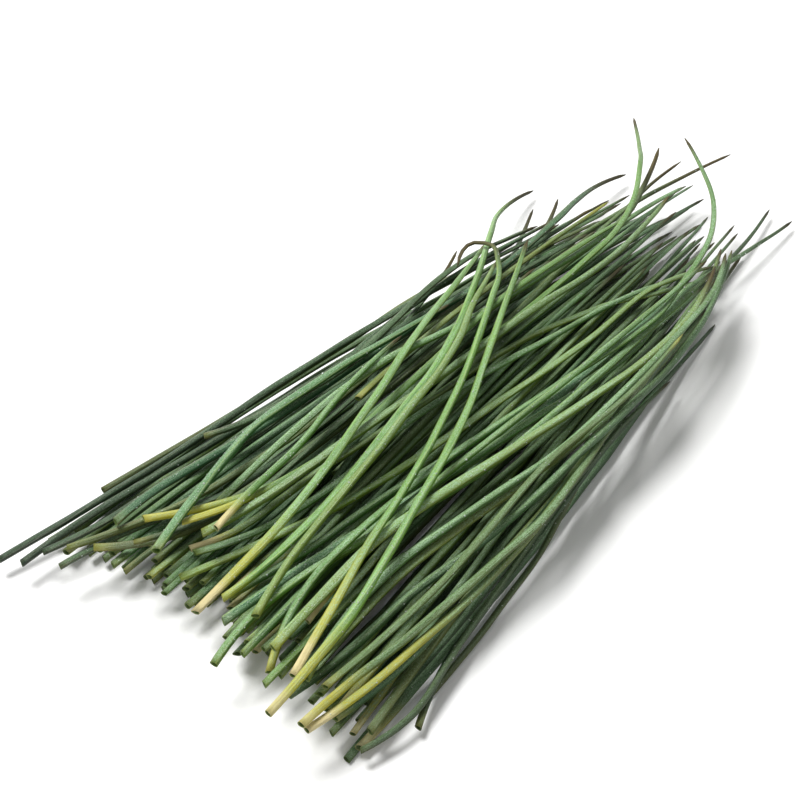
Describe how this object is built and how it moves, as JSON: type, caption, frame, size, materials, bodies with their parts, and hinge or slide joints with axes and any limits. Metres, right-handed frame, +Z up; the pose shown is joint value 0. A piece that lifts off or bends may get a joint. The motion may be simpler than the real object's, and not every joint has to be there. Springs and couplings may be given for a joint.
{
  "type": "wild onion bunch",
  "caption": "Loose bunch of long slim tubular onion leaves lying flat, fanned at the cut ends and drawn together at the pointed tips, with a few leaves crossing over the top.",
  "frame": {"origin": "on the surface that the bunch lies on, under the middle of its box", "axes": "+X along the leaves from their cut ends to their tips, +Y to the bunch's left, +Z up"},
  "size_m": [0.2984, 0.1354, 0.0354],
  "materials": {
    "dark_green_leaf": "dark green leaf, thin reddish edge, satin",
    "yellow_leaf": "yellowed blunt leaf end, satin",
    "green_leaf": "mid green leaf with fine ribs and a waxy bloom, satin",
    "shaded_green_leaf": "mid to dark green leaf with fine ribs, satin",
    "bloomed_leaf": "pale grey-green waxy bloom over green, satin",
    "crossing_green_leaf": "yellow-green leaf with a bright ridge, satin",
    "tip_green_leaf": "green leaf drying to brown at its tip, satin",
    "inner_leaf": "mid to dark green leaves under the top ones, satin"
  },
  "bodies": {
    "root": {"leaf_heap": "inner_leaf", "tip_leaf_01": "tip_green_leaf", "tip_leaf_02": "tip_green_leaf", "tip_leaf_03": "tip_green_leaf", "tip_leaf_04": "tip_green_leaf", "tip_leaf_05": "tip_green_leaf", "tip_leaf_06": "tip_green_leaf", "tip_leaf_07": "tip_green_leaf", "left_leaf_11": "dark_green_leaf", "left_leaf_01": "dark_green_leaf", "left_leaf_02": "dark_green_leaf", "left_leaf_03": "dark_green_leaf", "left_leaf_04": "dark_green_leaf", "left_leaf_05": "dark_green_leaf", "left_leaf_06": "dark_green_leaf", "left_leaf_07": "dark_green_leaf", "left_leaf_08": "dark_green_leaf", "left_leaf_09": "dark_green_leaf", "left_leaf_10": "dark_green_leaf", "tip_leaf_08": "tip_green_leaf", "top_leaf_01": "bloomed_leaf", "cut_leaf_01": "green_leaf", "cut_leaf_02": "green_leaf", "yellow_leaf_01": "yellow_leaf", "yellow_leaf_02": "yellow_leaf", "cut_leaf_03": "green_leaf", "cut_leaf_04": "green_leaf", "cut_leaf_05": "green_leaf", "cut_leaf_06": "green_leaf", "cut_leaf_07": "green_leaf", "cut_leaf_08": "green_leaf", "cut_leaf_09": "green_leaf", "cut_leaf_10": "green_leaf", "cut_leaf_11": "green_leaf", "right_leaf_01": "shaded_green_leaf", "right_leaf_02": "shaded_green_leaf", "right_leaf_03": "shaded_green_leaf", "right_leaf_04": "shaded_green_leaf", "right_leaf_05": "shaded_green_leaf", "right_leaf_06": "shaded_green_leaf", "right_leaf_07": "shaded_green_leaf", "right_leaf_08": "shaded_green_leaf", "right_leaf_09": "shaded_green_leaf", "top_leaf_02": "bloomed_leaf", "top_leaf_03": "bloomed_leaf", "tip_leaf_09": "tip_green_leaf", "crossing_leaf_01": "crossing_green_leaf", "crossing_leaf_02": "crossing_green_leaf", "crossing_leaf_03": "crossing_green_leaf", "crossing_leaf_04": "crossing_green_leaf", "crossing_leaf_05": "crossing_green_leaf", "crossing_leaf_06": "crossing_green_leaf", "crossing_leaf_07": "crossing_green_leaf"}
  },
  "joints": []
}
